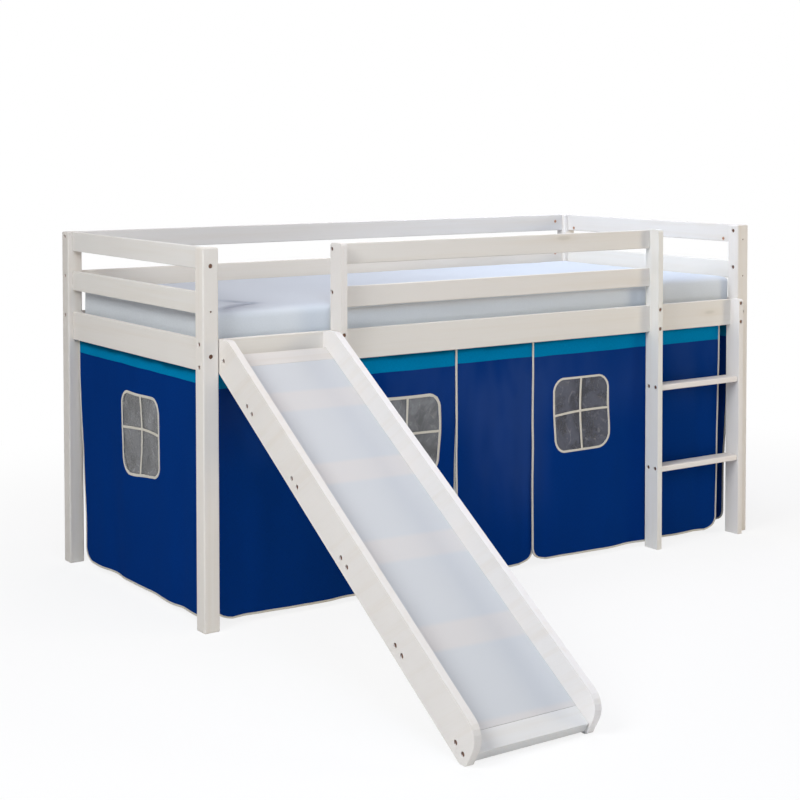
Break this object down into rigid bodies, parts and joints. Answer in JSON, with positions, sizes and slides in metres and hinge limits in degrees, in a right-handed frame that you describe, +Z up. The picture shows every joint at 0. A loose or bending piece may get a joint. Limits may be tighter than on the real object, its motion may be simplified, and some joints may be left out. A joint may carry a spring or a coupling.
{
  "type": "loft bed",
  "caption": "Low loft bed of whitewashed pine with a slide, a short ladder, guard rails, a mattress and play curtains with clear windows.",
  "frame": {"origin": "on the floor, under the middle of the whole part's bounding box, slide included", "axes": "+X along the bed from the slide to the ladder, +Y from the slide's foot to the back rails, +Z up"},
  "size_m": [2.09, 2.1862, 1.06],
  "materials": {
    "whitewashed_pine": "whitewashed, matt, grain showing faintly",
    "plain_pine_slat": "planed, untreated",
    "milky_slide_sheet": "smooth, satin, milky",
    "mattress_cloth": "soft woven cover",
    "navy_curtain_cloth": "matt woven cotton",
    "clear_window_film": "clear soft film, slightly creased"
  },
  "bodies": {
    "bed": {"back_ledger": "plain_pine_slat", "back_middle_rail": "whitewashed_pine", "back_side_rail": "whitewashed_pine", "back_top_rail": "whitewashed_pine", "bed_slat_01": "plain_pine_slat", "bed_slat_02": "plain_pine_slat", "bed_slat_03": "plain_pine_slat", "bed_slat_04": "plain_pine_slat", "bed_slat_05": "plain_pine_slat", "bed_slat_06": "plain_pine_slat", "bed_slat_07": "plain_pine_slat", "bed_slat_08": "plain_pine_slat", "bed_slat_09": "plain_pine_slat", "bed_slat_10": "plain_pine_slat", "bed_slat_11": "plain_pine_slat", "bed_slat_12": "plain_pine_slat", "curtain_front_door": "navy_curtain_cloth", "curtain_front_left": "navy_curtain_cloth", "curtain_front_right": "navy_curtain_cloth", "curtain_left_end": "navy_curtain_cloth", "curtain_right_end": "navy_curtain_cloth", "front_ledger": "plain_pine_slat", "front_side_rail": "whitewashed_pine", "guard_left_upright": "whitewashed_pine", "guard_lower_rail": "whitewashed_pine", "guard_top_rail": "whitewashed_pine", "ladder_left_upright": "whitewashed_pine", "ladder_lower_step": "whitewashed_pine", "ladder_right_upright": "whitewashed_pine", "ladder_upper_step": "whitewashed_pine", "left_end_board": "whitewashed_pine", "left_end_middle_rail": "whitewashed_pine", "left_end_top_rail": "whitewashed_pine", "post_back_left": "whitewashed_pine", "post_back_right": "whitewashed_pine", "post_front_left": "whitewashed_pine", "post_front_right": "whitewashed_pine", "right_end_board": "whitewashed_pine", "right_end_middle_rail": "whitewashed_pine", "right_end_top_rail": "whitewashed_pine", "slide_bottom_slat": "whitewashed_pine", "slide_left_board": "whitewashed_pine", "slide_panel": "milky_slide_sheet", "slide_right_board": "whitewashed_pine", "slide_slat_1": "whitewashed_pine", "slide_slat_2": "whitewashed_pine", "slide_slat_3": "whitewashed_pine", "slide_slat_4": "whitewashed_pine", "slide_top_slat": "whitewashed_pine", "window_front_left": "clear_window_film", "window_front_right": "clear_window_film", "window_left_end": "clear_window_film", "window_right_end": "clear_window_film"},
    "mattress": {"mattress": "mattress_cloth"}
  },
  "joints": [
    {"name": "mattress_lift", "type": "slide", "parent": "bed", "child": "mattress", "axis": [0, 0, 1], "range_m": [0, 0.3]}
  ]
}
